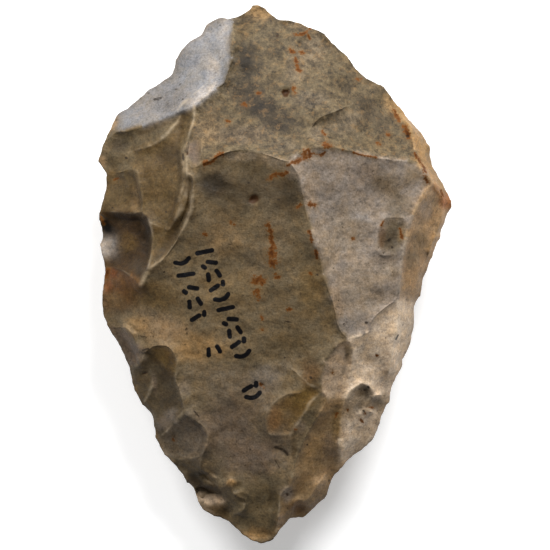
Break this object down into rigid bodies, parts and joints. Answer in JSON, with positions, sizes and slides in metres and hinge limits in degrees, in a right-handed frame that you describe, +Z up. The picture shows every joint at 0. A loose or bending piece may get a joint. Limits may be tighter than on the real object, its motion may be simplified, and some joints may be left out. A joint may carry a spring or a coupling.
{
  "type": "stone hand axe",
  "caption": "Bifacial flint hand axe with a broad butt, a tapering tip and flake scars over both faces, lying on its flatter face.",
  "frame": {"origin": "under the middle of the axe's outline, on the surface that it lies on", "axes": "+Y along its length towards the broad end, +X across its width, +Z up through its thickness"},
  "size_m": [0.0986, 0.15, 0.0412],
  "materials": {
    "flint": "patinated flint, satin and slightly waxy, mottled grey, olive and tan with rust spots"
  },
  "bodies": {
    "root": {"hand_axe": "flint"}
  },
  "joints": []
}
